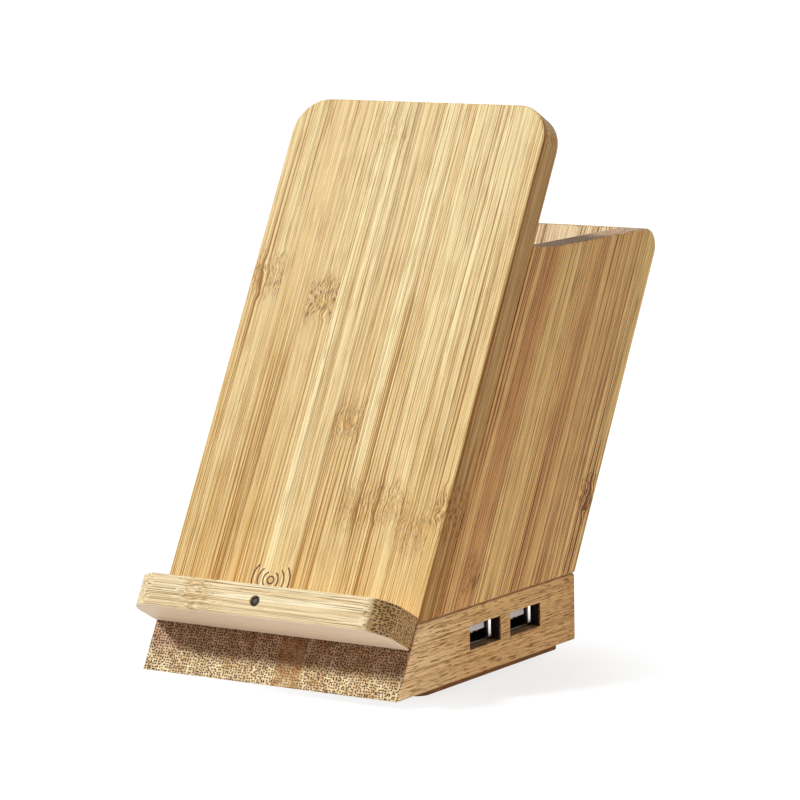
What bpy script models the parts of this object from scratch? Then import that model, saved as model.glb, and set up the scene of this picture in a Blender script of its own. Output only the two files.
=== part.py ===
"""Wireless charger pen holder of glued bamboo boards.

A leaning phone rest with a small ledge stands on a hollow base block, and a
pen box leans behind it. A flat wound coil lies behind a thin skin of the rest.
The base holds a circuit board with two power sockets in the right side and
the power inlet at the back.

Metres, +Z up, front towards -Y, right side towards +X. The origin is on the
table under the middle of the base block.
"""
import math

import bmesh
import bpy
from mathutils import Vector

# Driving dimensions

# Fits and finish
JOINT = 0.0003            # glue line or air between neighbours
OVERRUN = 0.002           # how far a cutter runs past what it cuts
ARRIS = 0.0005            # sanded edges of the boards
FINE_ARRIS = 0.0002       # edges of the small moulded pieces

# Boards
WIDTH = 0.080
LEAN = math.radians(28.5)
PANEL_THICK = 0.008
PANEL_REACH = 0.164       # up the slope, from the foot of the base's front
PANEL_CORNER = 0.010
WALL_THICK = 0.008
BASE_HEIGHT = 0.018
BASE_DEPTH = 0.087
BOX_RISE = 0.089          # pen box above the base block
BOX_CORNER = 0.0050       # rounding of the box's rear top edge
SWEEP_RISE = 0.0013       # the box's rim sweeps up towards the phone rest
SWEEP_RUN = 0.017

# Ledge at the foot of the phone rest
LEDGE_DROP = 0.0069       # from the base's top down the slope to the ledge's underside
LEDGE_THICK = 0.009
LEDGE_DEPTH = 0.015
LEDGE_CORNER = 0.0075

# Anti-slip pad
PAD_THICK = 0.0017
PAD_FRONT = 0.0155
PAD_REAR_INSET = 0.003
PAD_SIDE_INSET = 0.0028
PAD_CORNER = 0.0035

# Hollow of the base block
HOLLOW_SIDE_WALL = 0.008
HOLLOW_FRONT_WALL = 0.0034  # square to the sloping front, at the hollow's roof
HOLLOW_REAR_WALL = 0.010
HOLLOW_ROOF = 0.003
ROUTER_RADIUS = 0.002
POST_WIDE = 0.007         # front corner posts that take the cover's screws
POST_DEEP = 0.010
LAND = 0.006              # square lands that the circuit board is screwed to
LAND_INSET = 0.0105       # from the hollow's sides to the lands
NICHE_HALF = 0.010        # niche for the power inlet
NICHE_WALL = 0.005

# Bottom cover
COVER_THICK = 0.0017
COVER_LIP = 0.004
COVER_REAR_LIP = 0.006
COVER_CORNER = 0.003
COVER_SCREW_FRONT = 0.0065   # behind the hollow's front, in the posts
COVER_SCREW_REAR = 0.0032    # behind the hollow's rear
COVER_SCREW_HEAD = 0.0023
COVER_SCREW_HEAD_DEPTH = 0.0012
COVER_SCREW_SHANK = 0.0013
COVER_SCREW_LENGTH = 0.010

# Power sockets
WINDOW_WIDE = 0.0150
WINDOW_HIGH = 0.0064
WINDOW_PITCH = 0.0197
WINDOW_BACK = 0.00715     # middle of the pair, behind the hollow's middle
SOCKET_RISE = 0.0016      # above the middle of the hollow's height
SOCKET_RECESS = 0.0033
SHELL_WIDE = 0.0131
SHELL_HIGH = 0.0057
SHELL_LONG = 0.0140
SHELL_WALL = 0.0003
SHELL_CORNER = 0.0006
TONGUE_WIDE = 0.0111
TONGUE_THICK = 0.00184
TONGUE_DROP = 0.0007      # below the shell's roof
TONGUE_RECESS = 0.0005
TONGUE_ROOT = 0.0045
CONTACT_WIDE = 0.0010
CONTACT_THICK = 0.00025
CONTACT_LONG = 0.0070
CONTACT_RECESS = 0.0010
CONTACT_INNER = 0.0010    # from the middle to the inner pair
CONTACT_OUTER = 0.0035    # from the middle to the outer pair

# Power inlet
INLET_WIDE = 0.00894
INLET_HIGH = 0.00326
INLET_LONG = 0.0073
INLET_CORNER = 0.0015
INLET_WALL = 0.0003
INLET_RECESS = 0.0032
INLET_MOUTH_WIDE = 0.0130
INLET_MOUTH_HIGH = 0.0070
INLET_MOUTH_CORNER = 0.0030
INLET_TONGUE_WIDE = 0.0062
INLET_TONGUE_THICK = 0.0007
INLET_TONGUE_RECESS = 0.0010
INLET_ROOT = 0.0018

# Circuit board and what is on it
BOARD_THICK = 0.0016
BOARD_GAP = 0.0035        # from the front posts to the board
BOARD_CORNER = 0.001
BOARD_TAB_HALF = 0.0080
BOARD_SCREW_HEAD = 0.0019
BOARD_SCREW_CROWN = 0.0014
BOARD_SCREW_HEAD_HIGH = 0.0012
BOARD_SCREW_SHANK = 0.0009
BOARD_SCREW_LENGTH = 0.0080
CHIP_SIDE = 0.0060
CHIP_HIGH = 0.0009
REGULATOR_WIDE = 0.0050
REGULATOR_DEEP = 0.0040
REGULATOR_HIGH = 0.0015
INDUCTOR_SIDE = 0.0073
INDUCTOR_HIGH = 0.0032
INDUCTOR_CHAMFER = 0.0012
CAP_WIDE = 0.0057
CAP_DEEP = 0.0050
CAP_HIGH = 0.0023
CAN_RADIUS = 0.00315
CAN_HIGH = 0.0054
CAN_GROOVE = 0.0003
CAN_GROOVE_HIGH = 0.0014

# Places on the circuit board: shares of its half width, and of its depth from the front
CHIP_PLACE_SHARES = (-0.19, 0.36)
REGULATOR_PLACE_SHARES = (0.25, 0.36)
INDUCTOR_PLACE_SHARES = (0.25, 0.675)
CAN_PLACE_SHARES = (-0.315, 0.715)
CAP_PLACE_SHARES = ((-0.665, 0.245), (-0.665, 0.40), (-0.665, 0.555))

# Charging coil and its pocket
SKIN = 0.0025             # wood left in front of the coil
COIL_CENTRE = 0.090       # up the slope
POCKET_RADIUS = 0.0245
PLATE_RADIUS = 0.0272
PLATE_THICK = 0.0017
WIRE_RADIUS = 0.00035
COIL_INNER = 0.01025
COIL_TURNS = 10
COIL_PITCH = 0.00117
COIL_POINTS = 24          # points in one turn
COIL_START = math.radians(-102)
COIL_END = math.radians(-180)
CROSSING_GAP = 0.00048    # between the turns and the lead that crosses them
FERRITE_RADIUS = 0.0232
FERRITE_THICK = 0.0010
FERRITE_SLOT = 0.0032
WIRE_BORE = 0.0022
WIRE_BORE_X = -0.008
WIRE_BORE_DEPTH = 0.0046  # behind the rest's front face
LEAD_SPREAD = 0.0009

# Indicator light
LED_RADIUS = 0.0012
LED_LONG = 0.0060
LED_RECESS = 0.0003
LED_BORE = 0.0015
LED_WIRE_BORE = 0.00135
LED_WIRE_RADIUS = 0.0004
LED_WIRE_SPREAD = 0.00065

# Facets
ARC_STEPS = 8             # in a quarter turn of a board's corner
SMALL_ARC_STEPS = 4       # in a quarter turn of a routed or folded corner
DOME_STEPS = 6            # from a dome's tip to its rim
SMALL_ROUND = 16
BORE_ROUND = 24
POCKET_ROUND = 64
FLAT_ANGLE = math.radians(0.1)   # faces that turn less than this are one flat face

# Places that follow from the driving dimensions
COS, SIN, TAN = math.cos(LEAN), math.sin(LEAN), math.tan(LEAN)
HALF_WIDTH = WIDTH / 2
FOOT = PAD_THICK + JOINT
BOX_TOP = BASE_HEIGHT + BOX_RISE
BOX_FOOT = BASE_HEIGHT + JOINT
INNER_HALF = HALF_WIDTH - WALL_THICK
HOLLOW_HALF = HALF_WIDTH - HOLLOW_SIDE_WALL
HOLLOW_TOP = BASE_HEIGHT - HOLLOW_ROOF
HOLLOW_FRONT = HOLLOW_TOP * TAN + HOLLOW_FRONT_WALL / COS
HOLLOW_REAR = BASE_DEPTH - HOLLOW_REAR_WALL
NICHE_REAR = BASE_DEPTH - NICHE_WALL
COVER_SEAT = COVER_THICK + JOINT
SOCKET_Z = (COVER_SEAT + HOLLOW_TOP) / 2 + SOCKET_RISE
BOARD_TOP = SOCKET_Z - SHELL_HIGH / 2 - JOINT
ON_BOARD = BOARD_TOP + JOINT
BOARD_HALF = HOLLOW_HALF - JOINT
BOARD_FRONT = HOLLOW_FRONT + POST_DEEP + BOARD_GAP
BOARD_REAR = HOLLOW_REAR - JOINT
SHELL_MOUTH = HALF_WIDTH - SOCKET_RECESS
INLET_Z = ON_BOARD + INLET_HIGH / 2
INLET_MOUTH = BASE_DEPTH - INLET_RECESS
LEDGE_FOOT = BASE_HEIGHT / COS - LEDGE_DROP
LED_UP = LEDGE_FOOT + LEDGE_THICK / 2
COIL_PLANE = SKIN + JOINT + WIRE_RADIUS
CROSSING_PLANE = COIL_PLANE + 2 * WIRE_RADIUS + CROSSING_GAP
FERRITE_FACE = COIL_PLANE + WIRE_RADIUS + JOINT
PLATE_SEAT = PLATE_THICK + JOINT
COIL_OUTER = COIL_INNER + COIL_TURNS * COIL_PITCH


# Scene, collections and materials

for old in list(bpy.data.objects):
    bpy.data.objects.remove(old, do_unlink=True)

PARTS = bpy.data.collections.new("wireless_charger_pen_holder")
CUTTERS = bpy.data.collections.new("cutters")
bpy.context.scene.collection.children.link(PARTS)
bpy.context.scene.collection.children.link(CUTTERS)


def make_material(name, colour, roughness, metallic=0.0):
    """One Principled material."""
    material = bpy.data.materials.new(name)
    material.use_nodes = True
    shader = material.node_tree.nodes["Principled BSDF"]
    shader.inputs["Base Color"].default_value = (*colour, 1.0)
    shader.inputs["Roughness"].default_value = roughness
    shader.inputs["Metallic"].default_value = metallic
    return material


BAMBOO = make_material("bamboo", (0.72, 0.50, 0.27), 0.5)
BAMBOO_END = make_material("bamboo_base", (0.62, 0.42, 0.22), 0.55)
PAD_RUBBER = make_material("pad_rubber", (0.07, 0.05, 0.045), 0.9)
COVER_PLASTIC = make_material("cover_plastic", (0.05, 0.05, 0.05), 0.6)
STEEL = make_material("plated_steel", (0.75, 0.76, 0.78), 0.3, 1.0)
SCREW_STEEL = make_material("screw_steel", (0.55, 0.55, 0.57), 0.35, 1.0)
INSULATOR = make_material("white_insulator", (0.85, 0.85, 0.88), 0.45)
GILT = make_material("gilt_contact", (0.83, 0.62, 0.25), 0.3, 1.0)
BOARD_GREEN = make_material("circuit_board", (0.03, 0.17, 0.08), 0.5)
CHIP_BLACK = make_material("chip_black", (0.03, 0.03, 0.035), 0.5)
CAP_BROWN = make_material("capacitor_brown", (0.45, 0.33, 0.20), 0.45)
CAN_METAL = make_material("capacitor_can", (0.80, 0.80, 0.82), 0.3, 1.0)
FERRITE_GREY = make_material("ferrite", (0.10, 0.10, 0.11), 0.7)
COPPER = make_material("enamelled_copper", (0.72, 0.30, 0.12), 0.35, 1.0)
LED_RESIN = make_material("smoky_resin", (0.45, 0.47, 0.47), 0.2)
WIRE_BLACK = make_material("wire_sleeve", (0.04, 0.04, 0.04), 0.6)


# Frames: base_frame starts at the foot of the base's front, and lean_frame
# turns it back so that its Z runs up the slope and its Y into the boards.

def make_frame(name, location, tilt=0.0, parent=None):
    """An empty that carries pieces."""
    frame = bpy.data.objects.new(name, None)
    frame.location = location
    frame.rotation_euler = (tilt, 0, 0)
    frame.parent = parent
    PARTS.objects.link(frame)
    return frame


BASE_FRAME = make_frame("base_frame", (0, -BASE_DEPTH / 2, FOOT))
LEAN_FRAME = make_frame("lean_frame", (0, 0, 0), -LEAN, BASE_FRAME)

# Turns of a flat outline about its own origin
LIE_FLAT = (0, 0, 0)                       # outline in X, Y, raised along Z
FACE_SIDE = (math.pi / 2, 0, math.pi / 2)  # outline in Y, Z, raised along X
FACE_FRONT = (math.pi / 2, 0, 0)           # outline in X, Z, raised along -Y


def up_slope(y, z):
    """Depth and height up the slope of a point given in base_frame."""
    return y * COS - z * SIN, y * SIN + z * COS


def behind_front(z, depth):
    """Y of the plane that lies a depth behind the sloping front, at height z."""
    return z * TAN + depth / COS


# Modelling helpers

def add(mesh, name, material, frame, location=(0, 0, 0), turn=LIE_FLAT):
    """Put a mesh in the scene as a piece, or as a cutter with no material."""
    piece = bpy.data.objects.new(name, mesh)
    piece.location = location
    piece.rotation_euler = turn
    piece.parent = frame
    if material is None:
        CUTTERS.objects.link(piece)
        piece.hide_render = True
        piece.display_type = "WIRE"
    else:
        PARTS.objects.link(piece)
        mesh.materials.clear()
        mesh.materials.append(material)
    return piece


def curve_mesh(data, name, flat=False):
    """Turn curve data into a mesh with its caps welded on, each flat face in one piece."""
    carrier = bpy.data.objects.new(name + "_curve", data)
    bpy.context.scene.collection.objects.link(carrier)
    bpy.context.view_layer.update()
    graph = bpy.context.evaluated_depsgraph_get()
    mesh = bpy.data.meshes.new_from_object(carrier.evaluated_get(graph))
    bpy.data.objects.remove(carrier, do_unlink=True)
    bpy.data.curves.remove(data)
    weld = bmesh.new()
    weld.from_mesh(mesh)
    bmesh.ops.remove_doubles(weld, verts=weld.verts, dist=JOINT / 100)
    if flat:
        bmesh.ops.dissolve_limit(weld, angle_limit=FLAT_ANGLE, verts=weld.verts,
                                 edges=weld.edges)
    bmesh.ops.recalc_face_normals(weld, faces=weld.faces)
    weld.to_mesh(mesh)
    weld.free()
    mesh.name = name
    return mesh


def rounded(corners, steps=ARC_STEPS):
    """Outline through corners (x, y, radius), each rounded by an arc."""
    points = []
    count = len(corners)
    for index, (x, y, radius) in enumerate(corners):
        here = Vector((x, y))
        if radius == 0:
            points.append(here)
            continue
        before = (Vector(corners[index - 1][:2]) - here).normalized()
        after = (Vector(corners[(index + 1) % count][:2]) - here).normalized()
        half = before.angle(after) / 2
        centre = here + (before + after).normalized() * (radius / math.sin(half))
        start = here + before * (radius / math.tan(half)) - centre
        sweep = start.angle_signed(here + after * (radius / math.tan(half)) - centre)
        for step in range(steps + 1):
            turn = -sweep * step / steps
            points.append(centre + Vector((
                start.x * math.cos(turn) - start.y * math.sin(turn),
                start.x * math.sin(turn) + start.y * math.cos(turn))))
    return points


def box_corners(x0, x1, y0, y1, radius):
    """The four corners of an upright rectangle, for rounded()."""
    return [(x0, y0, radius), (x1, y0, radius), (x1, y1, radius), (x0, y1, radius)]


def plate_mesh(name, points, thick):
    """Flat outline with a thickness, resting on its own plane and raised above it."""
    data = bpy.data.curves.new(name, "CURVE")
    data.dimensions = "2D"
    data.fill_mode = "BOTH"
    data.extrude = thick / 2
    spline = data.splines.new("POLY")
    spline.points.add(len(points) - 1)
    for slot, point in zip(spline.points, points):
        slot.co = (point[0], point[1], 0, 1)
    spline.use_cyclic_u = True
    mesh = curve_mesh(data, name, flat=True)
    for vertex in mesh.vertices:
        vertex.co.z += thick / 2
    return mesh


def turned_mesh(name, profile):
    """Profile (radius, height), top to bottom along its outer side, for Screw."""
    mesh = bpy.data.meshes.new(name)
    points = [(radius, 0, height) for radius, height in profile]
    mesh.from_pydata(points, [(i, i + 1) for i in range(len(points) - 1)], [])
    return mesh


def turn_profile(piece, steps):
    """Spin a profile about its own Z axis."""
    spin = piece.modifiers.new("turn", "SCREW")
    spin.steps = steps
    spin.render_steps = steps
    spin.use_merge_vertices = True
    spin.merge_threshold = JOINT / 100
    return piece


def soften(piece, width, segments=2):
    """Sand the sharp edges."""
    arris = piece.modifiers.new("arris", "BEVEL")
    arris.width = width
    arris.segments = segments
    arris.limit_method = "ANGLE"
    arris.angle_limit = math.radians(40)
    return piece


def cut(piece, cutter):
    """Take a cutter's shape out of a piece."""
    boolean = piece.modifiers.new(cutter.name, "BOOLEAN")
    boolean.operation = "DIFFERENCE"
    boolean.solver = "EXACT"
    boolean.use_self = True
    boolean.object = cutter
    return piece


def join(piece, addition):
    """Make an addition, kept among the cutters, one body with a piece."""
    boolean = piece.modifiers.new(addition.name, "BOOLEAN")
    boolean.operation = "UNION"
    boolean.solver = "EXACT"
    boolean.use_self = True
    boolean.object = addition
    return piece


def box(name, low, high, material=None, frame=None):
    """Box between two corners."""
    shape = bmesh.new()
    bmesh.ops.create_cube(shape, size=1)
    size = [b - a for a, b in zip(low, high)]
    bmesh.ops.scale(shape, vec=size, verts=shape.verts)
    mesh = bpy.data.meshes.new(name)
    shape.to_mesh(mesh)
    shape.free()
    middle = [(a + b) / 2 for a, b in zip(low, high)]
    return add(mesh, name, material, frame or BASE_FRAME, middle)


def cylinder(name, radius, low, high, steps, material=None, frame=None, turn=LIE_FLAT):
    """Round bar from one end, low, to the other, high, along its own Z."""
    shape = bmesh.new()
    length = (Vector(high) - Vector(low)).length
    bmesh.ops.create_cone(shape, cap_ends=True, segments=steps,
                          radius1=radius, radius2=radius, depth=length)
    mesh = bpy.data.meshes.new(name)
    shape.to_mesh(mesh)
    shape.free()
    middle = (Vector(low) + Vector(high)) / 2
    return add(mesh, name, material, frame or BASE_FRAME, middle, turn)


def wire(name, points, radius, material, frame):
    """Round wire through points."""
    data = bpy.data.curves.new(name, "CURVE")
    data.dimensions = "3D"
    data.bevel_depth = radius
    data.bevel_resolution = 1
    data.use_fill_caps = True
    spline = data.splines.new("POLY")
    spline.points.add(len(points) - 1)
    for slot, point in zip(spline.points, points):
        slot.co = (*point, 1)
    return add(curve_mesh(data, name), name, material, frame)


def smooth(piece):
    """Shade a round piece smooth, with its edges kept sharp."""
    piece.data.shade_smooth()
    piece.data.set_sharp_from_angle(angle=math.radians(40))
    return piece


# Base block: a solid block with a sloping front, hollowed from below

def hollow_outline():
    """Plan of the hollow, with the front posts left standing and the inlet's niche."""
    r = ROUTER_RADIUS
    post_x = HOLLOW_HALF - POST_WIDE
    post_y = HOLLOW_FRONT + POST_DEEP
    right = [
        (post_x, HOLLOW_FRONT, r), (post_x, post_y, r), (HOLLOW_HALF, post_y, r),
        (HOLLOW_HALF, HOLLOW_REAR, r), (NICHE_HALF, HOLLOW_REAR, r), (NICHE_HALF, NICHE_REAR, r)]
    left = [(-x, y, radius) for x, y, radius in reversed(right)]
    return rounded(right + left, SMALL_ARC_STEPS)


def land_boxes():
    """The four lands over the circuit board, clear of the sockets."""
    low, high = BOARD_TOP + JOINT, HOLLOW_TOP + OVERRUN
    lands = []
    for number, (x, y) in enumerate(board_screw_places(), 1):
        lands.append(box("land_%d" % number, (x - LAND / 2, y - LAND / 2, low),
                         (x + LAND / 2, y + LAND / 2, high)))
    return lands


def cover_outline(grow):
    """Plan of the bottom cover, or with growth of its seat."""
    half = HOLLOW_HALF + COVER_LIP + grow
    return rounded(box_corners(
        -half, half, HOLLOW_FRONT - COVER_LIP - grow,
        HOLLOW_REAR + COVER_REAR_LIP + grow, COVER_CORNER), SMALL_ARC_STEPS)


def cover_screw_places():
    """The cover's four screws, in X and Y."""
    x = HOLLOW_HALF - POST_WIDE / 2
    rows = (HOLLOW_FRONT + COVER_SCREW_FRONT, HOLLOW_REAR + COVER_SCREW_REAR)
    return [(side * x, y) for y in rows for side in (-1, 1)]


def cover_screw_profile(grow=0.0):
    """Countersunk screw, head down; with growth, the hole it needs, open below."""
    tip = COVER_SCREW_LENGTH + grow
    shank = COVER_SCREW_SHANK + grow
    head = COVER_SCREW_HEAD + grow
    body = [(0, tip), (shank / 2, tip), (shank, tip - shank), (shank, COVER_SCREW_HEAD_DEPTH),
            (head, 0)]
    return body + ([(head, -OVERRUN), (0, -OVERRUN)] if grow else [(0, 0)])


def board_screw_places():
    """The circuit board's four screws, in X and Y."""
    x = HOLLOW_HALF - LAND_INSET - LAND / 2
    rows = (BOARD_FRONT + LAND / 2, BOARD_REAR - LAND / 2)
    return [(side * x, y) for y in rows for side in (-1, 1)]


def board_screw_profile():
    """Pan-head screw, head down, from the head's seat at zero."""
    tip = BOARD_SCREW_LENGTH
    shank = BOARD_SCREW_SHANK
    return [(0, tip), (shank / 2, tip), (shank, tip - shank), (shank, 0),
            (BOARD_SCREW_HEAD, 0), (BOARD_SCREW_HEAD, -BOARD_SCREW_HEAD_HIGH / 2),
            (BOARD_SCREW_CROWN, -BOARD_SCREW_HEAD_HIGH), (0, -BOARD_SCREW_HEAD_HIGH)]


def window_middles():
    """Y of the two socket windows."""
    middle = (HOLLOW_FRONT + HOLLOW_REAR) / 2 + WINDOW_BACK
    return {"front": middle - WINDOW_PITCH / 2, "rear": middle + WINDOW_PITCH / 2}


profile = rounded([(0, 0, 0), (BASE_DEPTH, 0, 0), (BASE_DEPTH, BASE_HEIGHT, 0),
                   (BASE_HEIGHT * TAN, BASE_HEIGHT, 0)])
base_block = add(plate_mesh("base_block", profile, WIDTH), "base_block", BAMBOO_END,
                 BASE_FRAME, (-HALF_WIDTH, 0, 0), FACE_SIDE)
soften(base_block, ARRIS)

hollow = add(plate_mesh("hollow", hollow_outline(), HOLLOW_TOP + OVERRUN), "hollow", None,
             BASE_FRAME, (0, 0, -OVERRUN))
for land in land_boxes():
    cut(hollow, land)
cut(base_block, hollow)
cover_seat = add(plate_mesh("cover_seat", cover_outline(JOINT), COVER_SEAT + OVERRUN),
                 "cover_seat", None, BASE_FRAME, (0, 0, -OVERRUN))
cut(base_block, cover_seat)

for place, middle in window_middles().items():
    window = box("window_" + place,
                 (HOLLOW_HALF - OVERRUN, middle - WINDOW_WIDE / 2, SOCKET_Z - WINDOW_HIGH / 2),
                 (HALF_WIDTH + OVERRUN, middle + WINDOW_WIDE / 2, SOCKET_Z + WINDOW_HIGH / 2))
    cut(base_block, window)

mouth_outline = rounded(box_corners(
    -INLET_MOUTH_WIDE / 2, INLET_MOUTH_WIDE / 2,
    -INLET_MOUTH_HIGH / 2, INLET_MOUTH_HIGH / 2, INLET_MOUTH_CORNER), SMALL_ARC_STEPS)
inlet_cut = add(plate_mesh("inlet_cut", mouth_outline, NICHE_WALL + 2 * OVERRUN), "inlet_cut",
                None, BASE_FRAME, (0, BASE_DEPTH + OVERRUN, INLET_Z), FACE_FRONT)
cut(base_block, inlet_cut)

led_channel = cylinder(
    "led_channel", LED_WIRE_BORE, (0, -OVERRUN, LED_UP),
    (0, up_slope(HOLLOW_FRONT + OVERRUN, HOLLOW_TOP)[0] + OVERRUN, LED_UP),
    BORE_ROUND, frame=LEAN_FRAME, turn=FACE_FRONT)
cut(base_block, led_channel)

bore_foot = up_slope(behind_front(HOLLOW_TOP, WIRE_BORE_DEPTH), HOLLOW_TOP)[1] - JOINT
wire_channel = cylinder(
    "wire_channel", WIRE_BORE, (WIRE_BORE_X, WIRE_BORE_DEPTH, bore_foot),
    (WIRE_BORE_X, WIRE_BORE_DEPTH, COIL_CENTRE - POCKET_RADIUS + OVERRUN * 2),
    BORE_ROUND, frame=LEAN_FRAME)
cut(base_block, wire_channel)


# Bottom cover, its screws and the pad

bottom_cover = add(plate_mesh("bottom_cover", cover_outline(0), COVER_THICK), "bottom_cover",
                   COVER_PLASTIC, BASE_FRAME)
soften(bottom_cover, FINE_ARRIS, 1)
for number, (x, y) in enumerate(cover_screw_places(), 1):
    name = "cover_screw_%d" % number
    screw = add(turned_mesh(name, cover_screw_profile()), name, SCREW_STEEL,
                BASE_FRAME, (x, y, JOINT))
    smooth(turn_profile(screw, SMALL_ROUND))
    hole = add(turned_mesh(name + "_hole", cover_screw_profile(JOINT)), name + "_hole",
               None, BASE_FRAME, (x, y, JOINT))
    turn_profile(hole, SMALL_ROUND)
    cut(bottom_cover, hole)
    cut(base_block, hole)

pad_half = HALF_WIDTH - PAD_SIDE_INSET
pad_outline = rounded(box_corners(-pad_half, pad_half, PAD_FRONT,
                                  BASE_DEPTH - PAD_REAR_INSET, PAD_CORNER))
anti_slip_pad = add(plate_mesh("anti_slip_pad", pad_outline, PAD_THICK), "anti_slip_pad",
                    PAD_RUBBER, BASE_FRAME, (0, 0, -FOOT))


# Phone rest: a board with rounded top corners, its foot cut level, and a
# round pocket in its back for the coil

panel_outline = rounded([
    (-HALF_WIDTH, 0, 0), (HALF_WIDTH, 0, 0),
    (HALF_WIDTH, PANEL_REACH, PANEL_CORNER), (-HALF_WIDTH, PANEL_REACH, PANEL_CORNER)])
front_panel = add(plate_mesh("front_panel", panel_outline, PANEL_THICK), "front_panel", BAMBOO,
                  LEAN_FRAME, (0, PANEL_THICK, 0), FACE_FRONT)
foot_cut = box("foot_cut", (-WIDTH, -BASE_DEPTH, -BASE_DEPTH), (WIDTH, BASE_DEPTH, BOX_FOOT))
cut(front_panel, foot_cut)
soften(front_panel, ARRIS)

pocket = cylinder("pocket", POCKET_RADIUS, (0, SKIN, COIL_CENTRE),
                  (0, PANEL_THICK + OVERRUN, COIL_CENTRE), POCKET_ROUND,
                  frame=LEAN_FRAME, turn=FACE_FRONT)
plate_seat = cylinder("plate_seat", PLATE_RADIUS + JOINT,
                      (0, PANEL_THICK - PLATE_SEAT, COIL_CENTRE),
                      (0, PANEL_THICK + OVERRUN, COIL_CENTRE), POCKET_ROUND,
                      frame=LEAN_FRAME, turn=FACE_FRONT)
for cutter in (pocket, plate_seat, wire_channel):
    cut(front_panel, cutter)

coil_cover_plate = cylinder("coil_cover_plate", PLATE_RADIUS,
                            (0, PANEL_THICK - PLATE_THICK, COIL_CENTRE),
                            (0, PANEL_THICK, COIL_CENTRE), POCKET_ROUND, BAMBOO,
                            LEAN_FRAME, FACE_FRONT)
soften(smooth(coil_cover_plate), FINE_ARRIS, 1)


# Ledge, bored for the indicator light

ledge_outline = rounded([
    (-HALF_WIDTH, -JOINT, 0), (-HALF_WIDTH, -LEDGE_DEPTH, LEDGE_CORNER),
    (HALF_WIDTH, -LEDGE_DEPTH, LEDGE_CORNER), (HALF_WIDTH, -JOINT, 0)])
phone_ledge = add(plate_mesh("phone_ledge", ledge_outline, LEDGE_THICK), "phone_ledge", BAMBOO,
                  LEAN_FRAME, (0, 0, LEDGE_FOOT))
soften(phone_ledge, ARRIS)
led_seat = cylinder("led_seat", LED_BORE, (0, -LEDGE_DEPTH - OVERRUN, LED_UP),
                    (0, -LEDGE_DEPTH + LED_RECESS + LED_LONG + JOINT, LED_UP), BORE_ROUND,
                    frame=LEAN_FRAME, turn=FACE_FRONT)
ledge_channel = cylinder("ledge_channel", LED_WIRE_BORE, (0, -LEDGE_DEPTH + LED_LONG, LED_UP),
                         (0, OVERRUN, LED_UP), BORE_ROUND, frame=LEAN_FRAME, turn=FACE_FRONT)
cut(phone_ledge, led_seat)
cut(phone_ledge, ledge_channel)


# Pen box: two side walls and a rear wall between them

def rear_face(z):
    """Y of the box's sloping rear face."""
    return BASE_DEPTH + (z - BASE_HEIGHT) * TAN


def side_wall_outline():
    """Side wall in Y and Z, its rim sweeping up to the phone rest."""
    front_foot = behind_front(BOX_FOOT, PANEL_THICK + JOINT)
    front_top = behind_front(BOX_TOP + SWEEP_RISE, PANEL_THICK + JOINT)
    radius = (SWEEP_RUN ** 2 + SWEEP_RISE ** 2) / (2 * SWEEP_RISE)
    sweep = math.asin(SWEEP_RUN / radius)
    low = front_top + SWEEP_RUN
    rim = []
    for step in range(ARC_STEPS + 1):
        turn = sweep * step / ARC_STEPS
        rim.append(Vector((low - radius * math.sin(turn),
                           BOX_TOP + radius * (1 - math.cos(turn)))))
    body = rounded([(front_foot, BOX_FOOT, 0), (rear_face(BOX_FOOT), BOX_FOOT, 0),
                    (rear_face(BOX_TOP), BOX_TOP, BOX_CORNER), (low, BOX_TOP, 0)])
    return body[:-1] + rim


def rear_wall_outline():
    """Rear wall in Y and Z, with the same rounded top edge."""
    across = WALL_THICK / COS
    top_corner = rounded([
        (rear_face(BOX_FOOT), BOX_FOOT, 0), (rear_face(BOX_TOP), BOX_TOP, BOX_CORNER),
        (rear_face(BOX_TOP) - BASE_DEPTH, BOX_TOP, 0)])[1:-1]
    inner = [point for point in top_corner
             if point.x > rear_face(point.y) - across]
    return ([Vector((rear_face(BOX_FOOT) - across, BOX_FOOT)),
             Vector((rear_face(BOX_FOOT), BOX_FOOT))] + inner
            + [Vector((rear_face(inner[-1].y) - across, inner[-1].y))])


for side, place in ((-1, "left"), (1, "right")):
    name = "side_wall_" + place
    foot_x = -HALF_WIDTH if side < 0 else HALF_WIDTH - WALL_THICK
    wall = add(plate_mesh(name, side_wall_outline(), WALL_THICK), name, BAMBOO,
               BASE_FRAME, (foot_x, 0, 0), FACE_SIDE)
    soften(wall, ARRIS)

rear_half = INNER_HALF - JOINT
rear_wall = add(plate_mesh("rear_wall", rear_wall_outline(), 2 * rear_half), "rear_wall", BAMBOO,
                BASE_FRAME, (-rear_half, 0, 0), FACE_SIDE)
soften(rear_wall, ARRIS)


# Circuit board with a tab for the inlet

board_right = [(BOARD_HALF, BOARD_FRONT, BOARD_CORNER), (BOARD_HALF, BOARD_REAR, BOARD_CORNER),
               (BOARD_TAB_HALF, BOARD_REAR, 0), (BOARD_TAB_HALF, NICHE_REAR - JOINT, BOARD_CORNER)]
board_left = [(-x, y, radius) for x, y, radius in reversed(board_right)]
main_board = add(plate_mesh("main_board", rounded(board_right + board_left, SMALL_ARC_STEPS), BOARD_THICK),
                 "main_board", BOARD_GREEN, BASE_FRAME, (0, 0, BOARD_TOP - BOARD_THICK))
for number, (x, y) in enumerate(board_screw_places(), 1):
    name = "board_screw_%d" % number
    seat = BOARD_TOP - BOARD_THICK - JOINT
    screw = add(turned_mesh(name, board_screw_profile()), name, SCREW_STEEL,
                BASE_FRAME, (x, y, seat))
    smooth(turn_profile(screw, SMALL_ROUND))
    hole = cylinder(name + "_hole", BOARD_SCREW_SHANK + JOINT,
                    (x, y, seat - OVERRUN), (x, y, seat + BOARD_SCREW_LENGTH + JOINT), SMALL_ROUND)
    cut(main_board, hole)
    cut(base_block, hole)


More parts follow.
